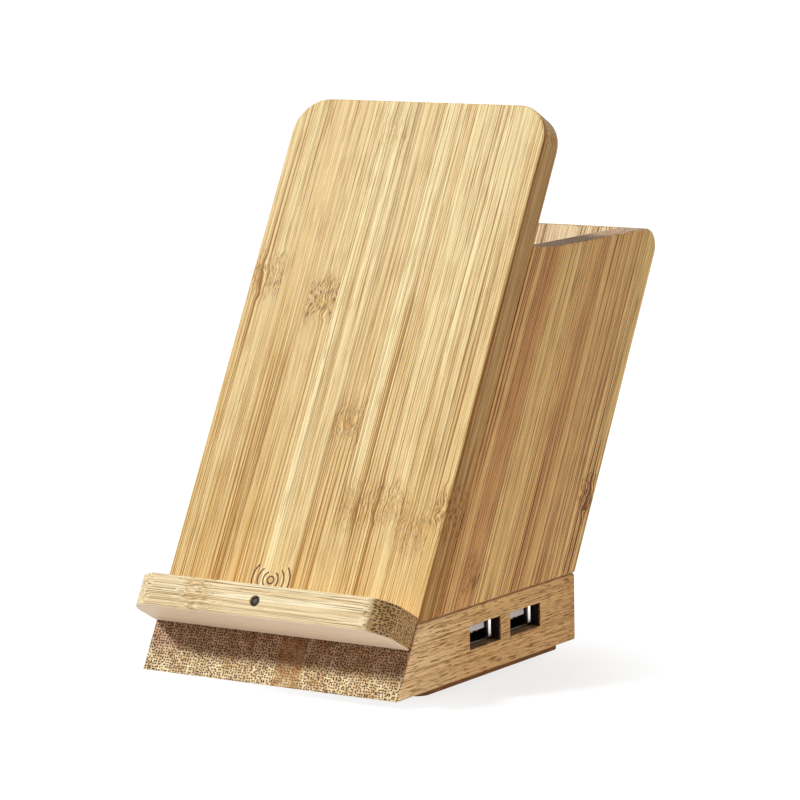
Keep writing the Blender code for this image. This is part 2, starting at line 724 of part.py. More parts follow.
def board_place(shares):
    """X and Y of a place on the circuit board."""
    return shares[0] * BOARD_HALF, BOARD_FRONT + shares[1] * (BOARD_REAR - BOARD_FRONT)


def block_on_board(name, shares, wide, deep, high, material, edge=FINE_ARRIS, segments=1):
    """A moulded block that sits on the circuit board."""
    x, y = board_place(shares)
    piece = box(name, (x - wide / 2, y - deep / 2, ON_BOARD),
                (x + wide / 2, y + deep / 2, ON_BOARD + high), material)
    return soften(piece, edge, segments)


block_on_board("transmitter_chip", CHIP_PLACE_SHARES, CHIP_SIDE, CHIP_SIDE, CHIP_HIGH, CHIP_BLACK)
block_on_board("charge_chip", REGULATOR_PLACE_SHARES, REGULATOR_WIDE, REGULATOR_DEEP,
               REGULATOR_HIGH, CHIP_BLACK)
block_on_board("power_inductor", INDUCTOR_PLACE_SHARES, INDUCTOR_SIDE, INDUCTOR_SIDE,
               INDUCTOR_HIGH, FERRITE_GREY, INDUCTOR_CHAMFER)
for number, shares in enumerate(CAP_PLACE_SHARES, 1):
    block_on_board("resonance_capacitor_%d" % number, shares,
                   CAP_WIDE, CAP_DEEP, CAP_HIGH, CAP_BROWN, FINE_ARRIS, 2)

can_profile = [
    (0, CAN_HIGH), (CAN_RADIUS - CAN_GROOVE, CAN_HIGH), (CAN_RADIUS, CAN_HIGH - CAN_GROOVE),
    (CAN_RADIUS, CAN_GROOVE_HIGH + CAN_GROOVE), (CAN_RADIUS - CAN_GROOVE, CAN_GROOVE_HIGH),
    (CAN_RADIUS, CAN_GROOVE_HIGH - CAN_GROOVE), (CAN_RADIUS, 0), (0, 0)]
bulk_capacitor = add(turned_mesh("bulk_capacitor", can_profile), "bulk_capacitor", CAN_METAL,
                     BASE_FRAME, (*board_place(CAN_PLACE_SHARES), ON_BOARD))
smooth(turn_profile(bulk_capacitor, BORE_ROUND))


# Power sockets: a folded steel shell, a white insulator whose tongue reaches
# forward under the shell's roof, and four contacts under the tongue

def tube_shell(name, wide, high, wall, corner, length, middle, turn, material):
    """Thin rounded tube, open at both ends."""
    outer = rounded(box_corners(-wide / 2, wide / 2, -high / 2, high / 2, corner),
                    SMALL_ARC_STEPS)
    inner = rounded(box_corners(-wide / 2 + wall, wide / 2 - wall, -high / 2 + wall,
                                high / 2 - wall, corner - wall), SMALL_ARC_STEPS)
    shell = add(plate_mesh(name, outer, length), name, material, BASE_FRAME, middle, turn)
    bore = add(plate_mesh(name + "_bore", inner, length + 2 * OVERRUN), name + "_bore", None,
               BASE_FRAME, middle, turn)
    return shell, bore


for place, middle in window_middles().items():
    back = SHELL_MOUTH - SHELL_LONG
    shell, bore = tube_shell("usb_shell_" + place, SHELL_WIDE, SHELL_HIGH, SHELL_WALL,
                             SHELL_CORNER, SHELL_LONG, (back, middle, SOCKET_Z), FACE_SIDE, STEEL)
    bore.location.x -= OVERRUN
    cut(shell, bore)

    roof = SOCKET_Z + SHELL_HIGH / 2 - SHELL_WALL
    floor = SOCKET_Z - SHELL_HIGH / 2 + SHELL_WALL
    root_half = SHELL_WIDE / 2 - SHELL_WALL - JOINT
    tongue = box("usb_tongue_" + place, (back, middle - root_half, floor + JOINT),
                 (back + TONGUE_ROOT, middle + root_half, roof - JOINT), INSULATOR)
    tongue_top = roof - TONGUE_DROP
    reach = box("usb_tongue_reach_" + place,
                (back + TONGUE_ROOT / 2, middle - TONGUE_WIDE / 2, tongue_top - TONGUE_THICK),
                (SHELL_MOUTH - TONGUE_RECESS, middle + TONGUE_WIDE / 2, tongue_top))
    join(tongue, reach)
    soften(tongue, FINE_ARRIS, 1)

    contact_top = tongue_top - TONGUE_THICK - JOINT
    contact_front = SHELL_MOUTH - TONGUE_RECESS - CONTACT_RECESS
    rows = (-CONTACT_OUTER, -CONTACT_INNER, CONTACT_INNER, CONTACT_OUTER)
    for number, offset in enumerate(rows, 1):
        y = middle + offset
        box("usb_contact_%s_%d" % (place, number),
            (contact_front - CONTACT_LONG, y - CONTACT_WIDE / 2, contact_top - CONTACT_THICK),
            (contact_front, y + CONTACT_WIDE / 2, contact_top), GILT)


# Power inlet at the back, on the board's tab

inlet_shell, inlet_bore = tube_shell(
    "inlet_shell", INLET_WIDE, INLET_HIGH, INLET_WALL, INLET_CORNER, INLET_LONG,
    (0, INLET_MOUTH, INLET_Z), FACE_FRONT, STEEL)
inlet_bore.location.y += OVERRUN
cut(inlet_shell, inlet_bore)

inlet_back = INLET_MOUTH - INLET_LONG
inlet_root_half = INLET_WIDE / 2 - INLET_HIGH / 2
inlet_tongue = box(
    "inlet_tongue",
    (-inlet_root_half, inlet_back, INLET_Z - INLET_HIGH / 2 + INLET_WALL + JOINT),
    (inlet_root_half, inlet_back + INLET_ROOT, INLET_Z + INLET_HIGH / 2 - INLET_WALL - JOINT),
    INSULATOR)
inlet_reach = box(
    "inlet_reach",
    (-INLET_TONGUE_WIDE / 2, inlet_back + INLET_ROOT / 2, INLET_Z - INLET_TONGUE_THICK / 2),
    (INLET_TONGUE_WIDE / 2, INLET_MOUTH - INLET_TONGUE_RECESS, INLET_Z + INLET_TONGUE_THICK / 2))
join(inlet_tongue, inlet_reach)


# Charging coil: one unbroken wire. It comes up from the board through the
# bore, winds inwards and crosses behind its own turns on the way back down.

# Shares of a lead's way from the board to its hole: back along the board, and up
LEAD_SHARES = ((1.0, 0.0), (0.82, 0.02), (0.62, 0.22), (0.40, 0.48), (0.20, 0.72), (0.06, 0.88))
# Shares of the quarter turn by which the lead swings into the first turn
BEND_SHARES = (0.0, 0.3, 0.65)
# Shares of the inner lead's way back: down, aside and behind the turns
STEP_BACK_SHARES = ((0.55, 0.35, 0.25), (1.1, 0.75, 0.7), (1.7, 1.0, 1.0))

LEAD_END_Y = BOARD_FRONT + LAND / 2
LEAD_X = {"outer": WIRE_BORE_X + LEAD_SPREAD, "inner": WIRE_BORE_X - LEAD_SPREAD}


def lead_route(x, radius, gate):
    """Lean-frame points of a wire from the circuit board up to a gate point.

    The wire lies on the board, rises through the hollow and turns into the
    hole that starts at the gate, given as depth and height up the slope.
    """
    gate_y = gate[0] * COS + gate[1] * SIN
    gate_z = gate[1] * COS - gate[0] * SIN
    on_board_z = ON_BOARD + radius
    rise = gate_z - on_board_z
    run = LEAD_END_Y - gate_y
    points = []
    for run_share, rise_share in LEAD_SHARES:
        depth, up = up_slope(gate_y + run * run_share, on_board_z + rise * rise_share)
        points.append((x, depth, up))
    return points


def coil_points():
    """The whole winding, from the board and back to it."""
    gate = (CROSSING_PLANE, bore_foot)
    pocket_foot = COIL_CENTRE - POCKET_RADIUS
    outer_x, inner_x = LEAD_X["outer"], LEAD_X["inner"]

    up = lead_route(outer_x, WIRE_RADIUS, gate)
    up.append((outer_x, *gate))
    up.append((outer_x, CROSSING_PLANE, pocket_foot - WIRE_BORE))
    start_x = COIL_OUTER * math.cos(COIL_START)
    start_up = COIL_CENTRE + COIL_OUTER * math.sin(COIL_START)
    bend = start_x - outer_x
    for share in BEND_SHARES:
        turn = share * math.pi / 2
        up.append((outer_x + bend * (1 - math.cos(turn)), COIL_PLANE,
                   start_up - bend * (1 - math.sin(turn))))

    sweep = COIL_TURNS * 2 * math.pi + COIL_END - COIL_START
    count = round(sweep / (2 * math.pi) * COIL_POINTS)
    spiral = []
    for step in range(count + 1):
        turn = sweep * step / count
        radius = COIL_OUTER - COIL_PITCH * turn / (2 * math.pi)
        angle = COIL_START + turn
        spiral.append((radius * math.cos(angle), COIL_PLANE,
                       COIL_CENTRE + radius * math.sin(angle)))

    last_x, last_up = spiral[-1][0], spiral[-1][2]
    step_back = CROSSING_PLANE - COIL_PLANE
    aside = inner_x - last_x
    down = []
    for down_share, aside_share, back_share in STEP_BACK_SHARES:
        down.append((last_x + aside * aside_share, COIL_PLANE + step_back * back_share,
                     last_up - aside * down_share))
    down.append((inner_x, CROSSING_PLANE, pocket_foot + WIRE_BORE))
    down.append((inner_x, CROSSING_PLANE, gate[1]))
    down += reversed(lead_route(inner_x, WIRE_RADIUS, gate))
    return up + spiral + down


def least_gap(points, radius, near):
    """Least air between stretches of one wire that lie further than near apart along it."""
    samples, along = [], []
    length = 0.0
    step = radius
    for a, b in zip(points, points[1:]):
        a, b = Vector(a), Vector(b)
        pieces = max(1, int((b - a).length / step))
        for k in range(pieces):
            samples.append(a.lerp(b, k / pieces))
            along.append(length + (b - a).length * k / pieces)
        length += (b - a).length
    least = None
    cells = {}
    size = near / 2
    for index, point in enumerate(samples):
        cell = tuple(int(math.floor(c / size)) for c in point)
        cells.setdefault(cell, []).append(index)
    for index, point in enumerate(samples):
        cx, cy, cz = (int(math.floor(c / size)) for c in point)
        for dx in (-1, 0, 1):
            for dy in (-1, 0, 1):
                for dz in (-1, 0, 1):
                    for other in cells.get((cx + dx, cy + dy, cz + dz), ()):
                        if along[other] - along[index] > near:
                            gap = (samples[other] - point).length - 2 * radius
                            least = gap if least is None else min(least, gap)
    return least


winding = coil_points()
charging_coil = smooth(wire("charging_coil", winding, WIRE_RADIUS, COPPER, LEAN_FRAME))
print("charging_coil: least gap to itself %.3f mm" % (
    1000 * least_gap(winding, WIRE_RADIUS, 4 * COIL_PITCH)))

ferrite_sheet = cylinder("ferrite_sheet", FERRITE_RADIUS, (0, FERRITE_FACE, COIL_CENTRE),
                         (0, FERRITE_FACE + FERRITE_THICK, COIL_CENTRE), POCKET_ROUND,
                         FERRITE_GREY, LEAN_FRAME, FACE_FRONT)
slot_x = (LEAD_X["inner"] - COIL_INNER) / 2
ferrite_slot = box("ferrite_slot",
                   (slot_x - FERRITE_SLOT / 2, 0, COIL_CENTRE - POCKET_RADIUS - OVERRUN),
                   (slot_x + FERRITE_SLOT / 2, PANEL_THICK, COIL_CENTRE + FERRITE_SLOT / 2),
                   None, LEAN_FRAME)
cut(ferrite_sheet, ferrite_slot)


# Indicator light: a round resin body with a domed front, and two wires

led_tip = LED_LONG
dome = [(0, led_tip)]
for step in range(1, DOME_STEPS + 1):
    turn = math.pi / 2 * step / DOME_STEPS
    dome.append((LED_RADIUS * math.sin(turn), led_tip - LED_RADIUS * (1 - math.cos(turn))))
led_profile = dome + [(LED_RADIUS, 0), (0, 0)]
status_led = add(turned_mesh("status_led", led_profile), "status_led", LED_RESIN, LEAN_FRAME,
                 (0, -LEDGE_DEPTH + LED_RECESS + LED_LONG, LED_UP), FACE_FRONT)
smooth(turn_profile(status_led, BORE_ROUND))

for number, side in enumerate((-1, 1), 1):
    x = side * LED_WIRE_SPREAD
    led_back = -LEDGE_DEPTH + LED_RECESS + LED_LONG + JOINT
    led_gate = (up_slope(HOLLOW_FRONT, HOLLOW_TOP)[0], LED_UP)
    route = lead_route(x, LED_WIRE_RADIUS, led_gate)
    route += [(x, led_gate[0], LED_UP), (x, led_back, LED_UP)]
    smooth(wire("led_lead_%d" % number, route, LED_WIRE_RADIUS, WIRE_BLACK, LEAN_FRAME))
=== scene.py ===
import math
import bpy
from mathutils import Matrix, Vector


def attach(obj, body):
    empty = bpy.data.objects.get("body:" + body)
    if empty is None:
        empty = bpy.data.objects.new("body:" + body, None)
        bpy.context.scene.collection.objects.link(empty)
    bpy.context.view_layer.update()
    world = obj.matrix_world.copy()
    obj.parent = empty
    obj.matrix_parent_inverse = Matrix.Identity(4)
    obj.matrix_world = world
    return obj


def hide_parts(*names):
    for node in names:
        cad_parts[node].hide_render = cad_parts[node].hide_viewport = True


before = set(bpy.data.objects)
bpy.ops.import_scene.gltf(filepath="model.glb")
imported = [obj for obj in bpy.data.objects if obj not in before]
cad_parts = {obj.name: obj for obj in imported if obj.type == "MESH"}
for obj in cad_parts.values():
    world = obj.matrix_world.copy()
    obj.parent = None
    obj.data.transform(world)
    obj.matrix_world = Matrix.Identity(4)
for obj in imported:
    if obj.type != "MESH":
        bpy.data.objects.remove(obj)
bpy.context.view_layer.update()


# Base block. Thick bamboo lumber glued from 8 mm strips that run front to back, so
# its sloping front shows their cut ends. Routed hollow from below, sanded, then
# given a satin lacquer.

LEAN = math.radians(28.5)
FOOT_BACK, FOOT_UP = 43.5, 2.0          # mm, foot of the sloping front
FURTHEST_KNUCKLE = 200                  # mm along the fibre, for places kept as shares
WIDEST_CRACK = 0.4                      # mm to each side; wider streaks are bands of colour
SEAM = (0.2, 0.05)                      # mm from a glue line, where it starts and is full


class Wire:
    """A socket of a finish. Sums on it add Math nodes to the same finish."""

    def __init__(self, tree, socket=None):
        self.tree, self.socket = tree, socket

    def node(self, kind, settings=None, inputs=None, output=0):
        """Add a node: its settings first, then the values or links of its sockets."""
        made = self.tree.nodes.new("ShaderNode" + kind)
        for key, value in (settings or {}).items():
            if key == "stops":
                steps = made.color_ramp.elements
                for place, colour in value[1:-1]:
                    steps.new(place)
                for step, (place, colour) in zip(steps, value):
                    step.position, step.color = place, (*colour, 1.0)
            elif key == "interpolation":
                made.color_ramp.interpolation = value
            else:
                setattr(made, key, value)
        for key, value in (inputs or {}).items():
            if isinstance(value, Wire):
                self.tree.links.new(value.socket, made.inputs[key])
            else:
                made.inputs[key].default_value = value
        return Wire(self.tree, made.outputs[output])

    def maths(self, operation, *values, clamp=False):
        settings = {"operation": operation, "use_clamp": clamp}
        return self.node("Math", settings, dict(enumerate(values)))

    def __add__(self, other):
        return self.maths("ADD", self, other)

    __radd__ = __add__

    def __sub__(self, other):
        return self.maths("SUBTRACT", self, other)

    def __rsub__(self, other):
        return self.maths("SUBTRACT", other, self)

    def __mul__(self, other):
        return self.maths("MULTIPLY", self, other)

    __rmul__ = __mul__

    def __truediv__(self, other):
        return self.maths("DIVIDE", self, other)

    def __abs__(self):
        return self.maths("ABSOLUTE", self)

    def root(self):
        return self.maths("SQRT", self)

    def clip(self):
        return self.maths("ADD", self, 0.0, clamp=True)

    def larger(self, other):
        return self.maths("MAXIMUM", self, other)

    def step(self, low, high):
        """0 at low, 1 at high, smooth between; low may be the larger."""
        return self.node("MapRange", {"interpolation_type": "SMOOTHSTEP"},
                         {"Value": self, "From Min": low, "From Max": high})

    def noise(self, detail=2.0, rough=0.5):
        """Soft noise at this place, about one lump a unit."""
        return self.node("TexNoise", {"noise_dimensions": "3D"},
                         {"Vector": self, "Scale": 1.0, "Detail": detail, "Roughness": rough})

    def cells(self, random=1.0, dimensions="3D"):
        """Distance to the nearest of points strewn about one a unit."""
        return self.node("TexVoronoi", {"feature": "F1", "voronoi_dimensions": dimensions},
                         {"Vector": self, "Scale": 1.0, "Randomness": random})

    def scaled(self, *factors):
        return self.node("VectorMath", {"operation": "MULTIPLY"}, {0: self, 1: factors})

    def dot(self, *axis):
        return self.node("VectorMath", {"operation": "DOT_PRODUCT"}, {0: self, 1: axis}, 1)

    def between(self, first, second):
        """The colour at this share of the way from one colour to another."""
        return self.node("Mix", {"data_type": "RGBA", "clamp_factor": True},
                         {0: self, 6: (*first, 1), 7: (*second, 1)}, 2)

    def toward(self, colour, share):
        """This colour mixed toward another by a share."""
        colour = colour if isinstance(colour, Wire) else (*colour, 1)
        return self.node("Mix", {"data_type": "RGBA", "clamp_factor": True},
                         {0: share, 6: self, 7: colour}, 2)

    def stained(self, colour, share):
        """This colour multiplied by a stain by a share."""
        settings = {"data_type": "RGBA", "blend_type": "MULTIPLY", "clamp_factor": False}
        return self.node("Mix", settings, {0: share, 6: self, 7: (*colour, 1)}, 2)


def shade(red, green, blue):
    """A colour as the eye sees it, 0 to 255, made linear."""
    return tuple(((c / 255 + 0.055) / 1.055) ** 2.4 for c in (red, green, blue))


def new_finish(name, roughness=0.5, metallic=0.0, specular=0.5):
    """An empty finish: its material, its first wire and its shader."""
    material = bpy.data.materials.new(name)
    material.use_nodes = True
    shader = material.node_tree.nodes["Principled BSDF"]
    shader.inputs["Roughness"].default_value = roughness
    shader.inputs["Metallic"].default_value = metallic
    shader.inputs["Specular IOR Level"].default_value = specular
    return material, Wire(material.node_tree), shader


def wear(node, material):
    """Give a CAD node its finish."""
    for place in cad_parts[node].material_slots:
        place.material = material


def feed(shader, wire, name):
    wire.tree.links.new(wire.socket, shader.inputs[name])


def raise_grain(shader, height, depth_mm):
    """Bump from a height of 0 to 1."""
    bump = height.node("Bump", {}, {"Height": height, "Strength": 1.0,
                                    "Distance": depth_mm / 1000})
    feed(shader, bump, "Normal")


def board_places(start, leaning):
    """Places in mm: across X, behind the rest's face and up the slope, or plain X, Y, Z."""
    where = start.node("TexCoord", output="Object")
    shift, turn = (0.0, FOOT_BACK, 0.0), (0.0, 0.0, 0.0)
    if leaning:
        shift = (0.0, FOOT_BACK * math.cos(LEAN) + FOOT_UP * math.sin(LEAN),
                 FOOT_BACK * math.sin(LEAN) - FOOT_UP * math.cos(LEAN))
        turn = (LEAN, 0.0, 0.0)
    places = where.node("Mapping", {"vector_type": "POINT"},
                        {"Vector": where, "Location": shift, "Rotation": turn,
                         "Scale": (1000.0, 1000.0, 1000.0)})
    return [places.node("SeparateXYZ", {}, {"Vector": places}, i) for i in range(3)]


def bamboo(name, leaning, axes, strips, end, pale, dark, line, scorched, ends, end_dots,
           dash=14.0, dashes=0.4, lines=1.0, coarse=1.0, bands=1.0, start_run=0.0,
           deepen=None, streaks=(), cut_faces=None, side_tone_and_arris_shade=None, extra=None):
    """Bamboo lumber. axes says which of X, Y, Z runs across the strips, through them and
    along the fibre. strips holds (edge, tone, knuckle place, knuckle strength), in mm and
    shares, and streaks (place, half width, from, to, depth). end is the last strip's far
    edge, dash the length of the short threads, and deepen (place, share a mm) darkens the
    board down from a place."""
    material, start, shader = new_finish(name, 0.46, 0.0, 0.25)
    xyz = board_places(start, leaning)
    across, through, run = (xyz["XYZ".index(a)] for a in axes)
    run = run - start_run
    first = strips[0][0]
    stops = [((edge - first) / (end - first),
              (tone, knuckle / FURTHEST_KNUCKLE, strength))
             for edge, tone, knuckle, strength in strips]
    table = start.node("ValToRGB", {"stops": stops, "interpolation": "CONSTANT"},
                       {"Fac": (across - first) / (end - first)})
    tone, knuckle, strength = (start.node("SeparateColor", {}, {"Color": table}, i)
                               for i in range(3))
    own = tone * 43.7 + knuckle * 171.3         # so that each strip's grain is its own

    def spot(wide, long, place, turn=0.0):
        """A place measured in threads of this width and length, in mm."""
        return start.node("CombineXYZ", {}, {0: place / wide + own, 1: through / wide + turn,
                                             2: run / long + own})

    # fibres drift a little, and bend round a knuckle
    drift = (spot(20.0, 80.0, across).noise(1.0) - 0.5) * 1.6
    lump = spot(3.2, 6.0, across).noise(2.0)
    off = abs(run - knuckle * FURTHEST_KNUCKLE + (lump - 0.5) * 14)
    near = off.step(9.0, 2.0) * strength
    core = off.step(4.0, 0.5) * strength
    wander = (spot(5.0, 7.0, across, 3.0).noise(1.0) - 0.5) * near * 5.0
    place = across + drift + wander

    broad = spot(3.0, 170.0, place).noise(2.0)
    middle = spot(0.62 * coarse, 260.0, place).noise(3.0, 0.65).step(0.36, 0.64)
    fine = spot(0.28 * coarse, 160.0, place).noise(1.0, 0.5)
    gate = spot(2.2, 60.0, place, 7.0).noise(1.0).step(0.34, 0.58)
    pores = spot(0.26, 0.8, place, 6.0).noise(1.0)
    tint = (tone * 0.75 + ((broad - 0.5) * 0.8 + (middle - 0.5) * 0.45) * bands
            + (pores - 0.5) * 0.4)
    if deepen:
        lower = ((deepen[0] - run) * deepen[1]).clip()
        tint = tint + lower
        lines = (0.7 + lower * 1.8) * lines
    cracks = 0.0
    for where, half, low, high, depth in streaks:
        here = (abs(place - where).step(half * 1.5, half * 0.5) * run.step(low - 5, low + 5)
                * run.step(high + 7, high - 7))
        if half > WIDEST_CRACK:
            tint = tint + here * depth
        else:
            cracks = here * depth + cracks
    short = spot(0.32, dash, place, 4.0).noise(1.0, 0.5).step(0.55, 0.62)
    threads = (fine.step(0.52, 0.60) * (0.35 + gate * 0.65) * 0.9 * lines
               + short * dashes).clip()
    face = tint.clip().between(pale, dark).toward(line, threads)
    if streaks:
        face = face.toward(scorched, cracks.clip() * 0.6)
    specks = spot(0.34, 2.2, place, 5.0).noise(2.0, 0.6).step(0.49, 0.58)
    broken = spot(1.5, 4.5, place, 9.0).noise(2.0, 0.6).step(0.38, 0.62)
    scorch = near * specks
    face = face.stained((0.92, 0.74, 0.42), (core + near).clip() * (broken * 0.5 + 0.15))
    face = face.toward(scorched, scorch * 0.95)

    # cut ends: dark dots where the fibres are cut across
    normal = start.node("TexCoord", output="Normal")
    facing = [abs(normal.dot(*way)) for way in
              ((1, 0, 0), (0, math.cos(LEAN), -math.sin(LEAN)) if leaning else (0, 1, 0),
               (0, math.sin(LEAN), math.cos(LEAN)) if leaning else (0, 0, 1))]
    if cut_faces:
        cut = cut_faces(xyz, facing)
    else:
        cut = facing["XYZ".index(axes[2])].step(0.55, 0.8)
    seeds = start.node("CombineXYZ", {}, {0: place / 0.76 + own, 1: through / 0.62 + own})
    swell = spot(2.4, 400.0, across, 2.0).noise(2.0, 0.6)
    dots = (seeds.cells(0.6, "2D").step(0.44, 0.22) * (0.6 + swell * 0.8)
            * (1.25 - tone * 0.5))
    end_tint = tone * 0.6 + (swell - 0.42) * 2.2 + (pores - 0.5) * 0.8
    end_face = end_tint.clip().between(*ends).toward(end_dots, dots.clip())
    colour = face.toward(end_face, cut)
    # the side faces' own darker tone, with painted shade added along the front arris
    if side_tone_and_arris_shade:
        colour = colour.stained(side_tone_and_arris_shade, facing[0].step(0.6, 0.85)
                                * (1 + through.step(1.4, 0.4) * 0.6))

    # glue lines between the strips, hair thin
    seam = abs(across - strips[1][0]).step(*SEAM)
    for edge, *_ in strips[2:]:
        seam = seam.larger(abs(across - edge).step(*SEAM))
    colour = colour.stained((0.72, 0.62, 0.5), seam * (0.25 + broken * 0.75))
    if extra:
        colour = extra(colour, xyz)
    feed(shader, colour, "Base Color")
    feed(shader, 0.46 + threads * 0.12 + cut * 0.14, "Roughness")
    raise_grain(shader, 1 - threads * 0.6 - dots * cut * 0.6 - scorch * 0.3, 0.03)
    return material


def routed_burns_and_shade(colour, xyz):
    """Cutter burns in the socket windows with painted shade over them: reddish dark, weaker
    on their sills, and near black further in, where shadow falls. A painted shadow of the
    ledge on the upper part of the sloping front, and the wood darker and warmer toward the
    rear."""
    x, y, z = xyz
    inside = x.step(39.75, 39.45) * x.step(30.0, 31.0) * z.step(3.0, 4.5) * y.step(12.0, 13.0)
    inside = inside * y.step(84.0, 83.0)
    deep_shade = x.step(39.8, 39.0)
    # partly cutter burn, partly painted shade: the windows' walls reddish dark, and near
    # black further in, as they lie in shadow
    burnt = inside * (0.45 + z.step(8.95, 9.4) * 0.55)
    colour = colour.stained((0.22, 0.07, 0.06), burnt)
    colour = colour.stained((0.05, 0.05, 0.06), burnt * deep_shade)
    # painted shadow: the ledge's shadow painted onto the upper part of the sloping front
    sloping = (y * math.cos(LEAN) - (z - FOOT_UP) * math.sin(LEAN)).step(0.6, 0.3)
    colour = colour.stained((0.70, 0.56, 0.58), sloping * z.step(5.5, 9.5))
    return colour.stained((0.90, 0.80, 0.64), y.step(10.0, 40.0))


base_strips = [(-40.0, 0.30, 20, 0.0), (-31.2, 0.45, 40, 0.0), (-23.2, 0.25, 60, 0.0),
               (-15.2, 0.50, 30, 0.0), (-7.2, 0.35, 50, 0.0), (0.8, 1.00, 70, 0.0),
               (8.9, 0.55, 10, 0.0), (16.25, 0.30, 65, 0.0), (24.4, 0.50, 44, 0.0),
               (32.5, 0.40, 86, 0.35)]
wear("base_block", bamboo(
    "lacquered_base_lumber", False, "XZY", base_strips, 40.0, pale=shade(255, 228, 180),
    dark=shade(206, 150, 84), line=shade(138, 94, 38), scorched=shade(150, 90, 44),
    ends=(shade(248, 228, 184), shade(186, 142, 86)), end_dots=shade(52, 28, 12),
    dash=4.5, dashes=0.7, lines=0.6, bands=0.7, extra=routed_burns_and_shade))


# Phone rest. One 8 mm bamboo board, glued up from strips that run up the slope, with
# round top corners and eased edges. A sign of three radio waves is burnt in above the
# ledge.

SIGN_MIDDLE = (-7.65, 27.95)                            # mm, across and up the slope
SIGN_LINE = (0.31, 0.15)                                # mm, half its width and its core's
SIGN_RING = 1.0                                         # mm
SIGN_WAVES = ((2.35, 1.9), (4.05, 1.07), (5.9, 0.88))   # radius, slope of the ends


def burnt_sign(colour, xyz):
    """A ring with three waves on each side, burnt into the front face."""
    x, behind, up = xyz
    right, above = abs(x - SIGN_MIDDLE[0]), abs(up - SIGN_MIDDLE[1])
    reach = (right * right + above * above).root()
    burn = abs(reach - SIGN_RING).step(*SIGN_LINE)
    for radius, steepest in SIGN_WAVES:
        wave = (abs(reach - radius).step(*SIGN_LINE)
                * (above - right * steepest).step(0.3, -0.3))
        burn = burn.larger(wave)
    return colour.toward(shade(70, 42, 6), burn * behind.step(0.6, 0.3))


rest_strips = [(-40.0, 0.36, 112, 0.7), (-30.0, 0.53, 180, 0.0), (-20.0, 0.38, 107, 1.0),
               (-11.0, 0.16, 155, 0.25), (-1.7, 0.40, 72, 0.65), (7.5, 0.28, 50, 0.5),
               (16.7, 0.27, 52, 0.65), (26.5, 0.33, 46, 0.5), (36.0, 0.45, 52, 0.85)]
rest_streaks = [(-33.0, 0.18, 10, 62, 0.7), (-31.6, 0.14, 20, 80, 0.6),
                (-28.6, 0.2, 10, 70, 0.7), (-26.2, 0.15, 10, 90, 0.6),
                (-24.0, 0.18, 10, 60, 0.7), (-22.6, 0.15, 20, 130, 0.5),
                (-19.0, 0.7, 10, 48, 0.2), (-10.2, 0.7, 10, 109, -0.5),
                (-8.6, 0.9, 30, 100, -0.3), (-1.3, 0.18, 30, 170, 0.85),
                (-0.5, 0.15, 64, 170, 0.75), (0.3, 0.15, 40, 170, 0.75),
                (-39.0, 1.3, 50, 125, 0.12), (-32.6, 1.9, 8, 60, 0.22),
                (2.6, 0.17, 60, 150, 0.7), (5.6, 0.16, 90, 170, 0.5),
                (9.0, 1.0, 60, 170, -0.35), (14.2, 0.17, 50, 150, 0.5),
                (21.0, 0.15, 60, 140, 0.5), (27.5, 0.6, 90, 170, -0.35),
                (33.0, 0.17, 60, 160, 0.5), (36.6, 0.9, 8, 55, 0.1)]
wear("front_panel", bamboo(
    "lacquered_rest_lumber", True, "XYZ", rest_strips, 40.0, pale=shade(255, 235, 176),
    dark=shade(214, 156, 34), line=shade(162, 110, 16), scorched=shade(118, 74, 16),
    ends=(shade(220, 184, 132), shade(180, 138, 90)), end_dots=shade(100, 66, 38),
    lines=1.35, bands=0.8, deepen=(135.0, 0.0022), streaks=rest_streaks,
    side_tone_and_arris_shade=(0.66, 0.56, 0.50), extra=burnt_sign))


# Ledge. A bamboo bar across the foot of the rest, glued on square to it, with two
# rounded front corners. Its strips run from side to side, so the corners show end grain.

def rounded_ends(xyz, facing):
    """End grain on the bar's ends, from where the corners start to turn."""
    turned = xyz[0].step(34.0, 36.0).larger(xyz[0].step(-37.5, -39.0))
    return turned * facing[2].step(0.75, 0.4)


def painted_bounce_below(colour, xyz):
    """Painted light: the underside made paler, standing in for light thrown up onto it from
    the table.
    """
    return colour.toward(shade(255, 232, 206), xyz[2].step(14.0, 13.7) * 0.9)


ledge_strips = [(-15.0, 0.30, 21, 0.45), (-8.0, 0.4, 60, 0.0), (-4.0, 0.3, 21, 0.3)]
wear("phone_ledge", bamboo(
    "lacquered_ledge_lumber", True, "YZX", ledge_strips, 0.0, pale=shade(255, 240, 202),
    dark=shade(224, 184, 104), line=shade(158, 120, 62), scorched=shade(140, 98, 40),
    ends=(shade(204, 170, 118), shade(176, 138, 86)), end_dots=shade(74, 48, 24),
    dash=8.0, dashes=0.25, start_run=-40.0, cut_faces=rounded_ends, extra=painted_bounce_below))


# Pen box. Two 8 mm side walls and a rear wall of bamboo board, fibres up the slope,
# butted behind the phone rest and glued to it and to the base block.

wall_colours = dict(pale=shade(255, 222, 150), dark=shade(194, 116, 50), coarse=1.1,
                    line=shade(126, 62, 12), scorched=shade(96, 52, 20), bands=0.5,
                    ends=(shade(226, 196, 158), shade(176, 142, 112)),
                    end_dots=shade(104, 76, 56), lines=1.4)
side_strips = [(0.0, 0.70, 45, 0.6), (8.3, 0.62, 150, 0.0), (14.6, 0.76, 40, 0.7),
               (22.5, 0.16, 150, 0.0), (32.0, 0.42, 30, 0.0), (36.5, 0.58, 120, 0.0),
               (44.0, 0.40, 20, 0.0), (59.5, 0.08, 79, 1.0), (68.0, 0.25, 120, 0.0)]
wear("side_wall_right", bamboo("lacquered_side_lumber", True, "YXZ", side_strips, 90.0,
                               **wall_colours))

